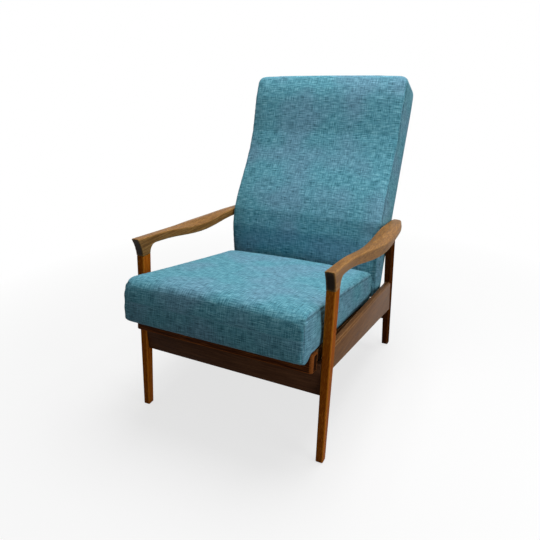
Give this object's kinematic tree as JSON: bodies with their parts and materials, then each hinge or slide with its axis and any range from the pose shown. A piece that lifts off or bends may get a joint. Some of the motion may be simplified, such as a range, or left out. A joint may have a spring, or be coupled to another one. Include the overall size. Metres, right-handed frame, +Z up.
{
  "type": "recliner",
  "caption": "Timber armchair with shaped arms, a loose-looking padded seat that slides on runners and a tall padded back that leans back on pivots.",
  "frame": {"origin": "on the floor, under the middle of the chair's box", "axes": "the front faces -Y, +X is to the right as seen from the front, +Z is up"},
  "size_m": [0.706, 1.0106, 0.9882],
  "materials": {
    "teak": "satin oil",
    "upholstery": "slubby plain weave",
    "beech": "planed, bare",
    "webbing": "matt",
    "nylon": "moulded, matt",
    "steel": "zinc plated"
  },
  "bodies": {
    "frame": {"arm_left": "teak", "arm_right": "teak", "frame_dowels": "beech", "front_apron": "teak", "front_foot_glide_left": "nylon", "front_foot_glide_right": "nylon", "front_leg_left": "teak", "front_leg_right": "teak", "pivot_bolt_left": "steel", "pivot_bolt_right": "steel", "pivot_spacer_left": "steel", "pivot_spacer_right": "steel", "rear_foot_glide_left": "nylon", "rear_foot_glide_right": "nylon", "rear_leg_left": "teak", "rear_leg_right": "teak", "rear_rail": "teak", "runner_left": "beech", "runner_right": "beech", "runner_screws": "steel", "side_board_left": "teak", "side_board_right": "teak"},
    "seat": {"bracket_screws": "steel", "seat_cushion": "upholstery", "seat_dowels": "beech", "seat_front_rail": "teak", "seat_glide_pads_left": "nylon", "seat_glide_pads_right": "nylon", "seat_rear_rail": "teak", "seat_side_rail_left": "teak", "seat_side_rail_right": "teak", "seat_webbing": "webbing", "slot_bracket_left": "steel", "slot_bracket_right": "steel"},
    "back": {"back_bottom_rail": "beech", "back_cushion": "upholstery", "back_dowels": "beech", "back_middle_rail": "beech", "back_rear_panel": "upholstery", "back_stile_left": "beech", "back_stile_right": "beech", "back_top_rail": "beech", "back_webbing": "webbing", "link_pin_left": "steel", "link_pin_right": "steel", "pivot_bush_left": "nylon", "pivot_bush_right": "nylon"}
  },
  "joints": [
    {"name": "back_recline", "type": "hinge", "parent": "frame", "child": "back", "pos_m": [0, 0.2325, 0.42], "axis": [-1, 0, 0], "range_deg": [0, 15]},
    {"name": "seat_slide", "type": "slide", "parent": "frame", "child": "seat", "axis": [0, -0.9877, 0.1564], "range_m": [0, 0.0496]}
  ],
  "couplings": [
    {"joint": "seat_slide", "follows": "back_recline", "m_per_rad": 0.18897}
  ]
}
